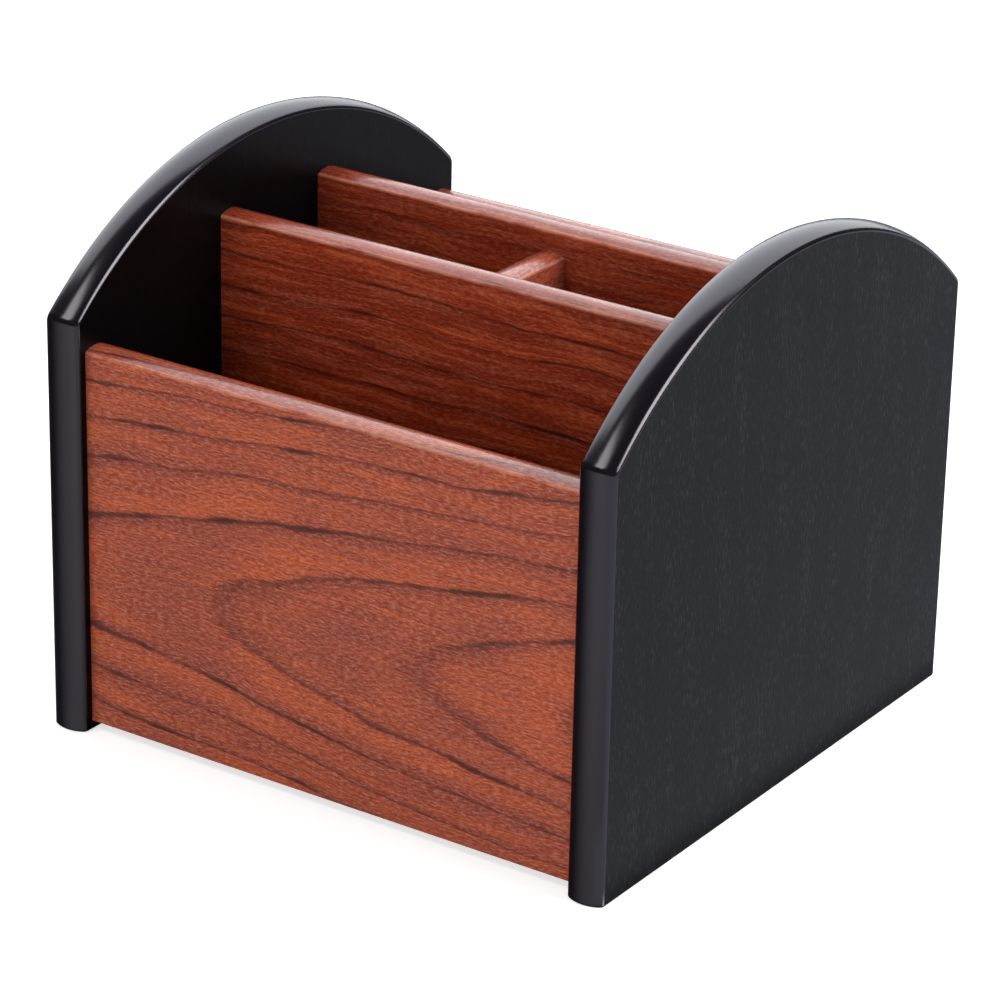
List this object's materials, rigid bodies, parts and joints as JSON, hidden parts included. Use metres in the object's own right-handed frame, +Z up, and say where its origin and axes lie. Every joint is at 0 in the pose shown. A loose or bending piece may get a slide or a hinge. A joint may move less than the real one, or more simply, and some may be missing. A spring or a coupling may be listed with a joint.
{
  "type": "pen holder",
  "caption": "Free-standing desk pen holder: arched dark side boards joined by red wood-grain cross boards of stepped height, which form open slots and pen cells.",
  "frame": {"origin": "middle of the footprint, on the surface the holder stands on", "axes": "+X to the right seen from the front, -Y towards the user (the low front panel), +Z up"},
  "size_m": [0.148, 0.1444, 0.1278],
  "materials": {
    "dark_board": "black satin board with a fine upright grain on its faces and a smooth crowned edge",
    "red_wood": "red-brown wood-grain film with a satin sheen, wrapped over the rounded top edges",
    "dowel_wood": "plain pale hardwood"
  },
  "bodies": {
    "root": {"left_side_panel": "dark_board", "right_side_panel": "dark_board", "front_panel": "red_wood", "front_partition": "red_wood", "rear_partition": "red_wood", "rear_panel": "red_wood", "divider": "red_wood", "base_panel": "red_wood", "front_panel_dowels": "dowel_wood", "front_partition_dowels": "dowel_wood", "rear_partition_dowels": "dowel_wood", "rear_panel_dowels": "dowel_wood"}
  },
  "joints": []
}
